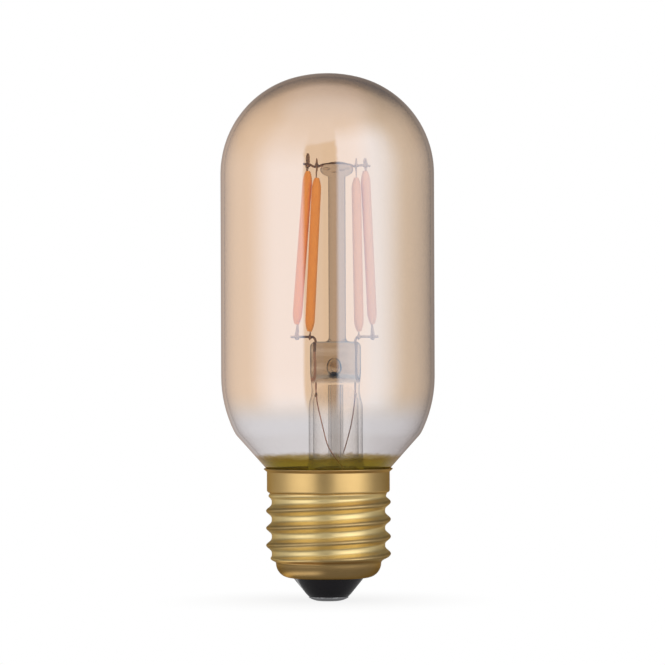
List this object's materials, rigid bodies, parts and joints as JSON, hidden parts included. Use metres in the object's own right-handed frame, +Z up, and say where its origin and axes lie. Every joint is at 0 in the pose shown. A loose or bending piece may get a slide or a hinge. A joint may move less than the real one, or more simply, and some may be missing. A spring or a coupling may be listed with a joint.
{
  "type": "led filament bulb",
  "caption": "Tubular gold-tinted glass bulb with upright filaments on a glass stem and a brass screw cap, for lighting a lamp or fitting.",
  "frame": {"origin": "centre of the flat on the centre contact, at the very bottom of the cap", "axes": "+Z up the bulb's axis towards the crown, X across the row of filaments, -Y towards the viewer"},
  "size_m": [0.045, 0.045, 0.1111],
  "materials": {
    "amber_glass": "clear blown glass with a gold tint",
    "clear_glass": "clear fused glass",
    "nickel_wire": "drawn nickel wire",
    "copper_wire": "drawn copper wire",
    "phosphor_coat": "soft silicone with orange phosphor",
    "tab_metal": "thin bright strip",
    "cap_brass": "satin rolled sheet",
    "cement": "baked cement",
    "insulator_black": "smooth moulded black",
    "contact_metal": "dull tinned metal",
    "board": "lacquered board",
    "chip_black": "moulded black",
    "capacitor_can": "drawn can",
    "resistor_body": "lacquered"
  },
  "bodies": {
    "root": {"glass_envelope": "amber_glass", "stem_glass": "clear_glass", "exhaust_tube": "clear_glass", "support_rod": "clear_glass", "top_bridge_wire": "nickel_wire", "left_inner_lead": "nickel_wire", "right_inner_lead": "nickel_wire", "left_seal_wire": "copper_wire", "right_seal_wire": "copper_wire", "left_outer_lead": "copper_wire", "right_outer_lead": "copper_wire", "left_outer_filament": "phosphor_coat", "left_inner_filament": "phosphor_coat", "right_inner_filament": "phosphor_coat", "right_outer_filament": "phosphor_coat", "left_outer_top_tab": "tab_metal", "left_outer_bottom_tab": "tab_metal", "left_inner_top_tab": "tab_metal", "left_inner_bottom_tab": "tab_metal", "right_inner_top_tab": "tab_metal", "right_inner_bottom_tab": "tab_metal", "right_outer_top_tab": "tab_metal", "right_outer_bottom_tab": "tab_metal", "cap_shell": "cap_brass", "cap_cement": "cement", "cap_insulator": "insulator_black", "centre_contact": "contact_metal", "driver_board": "board", "bridge_rectifier": "chip_black", "control_chip": "chip_black", "smoothing_capacitor": "capacitor_can", "fuse_resistor": "resistor_body", "contact_wire": "copper_wire", "shell_wire": "copper_wire"}
  },
  "joints": []
}
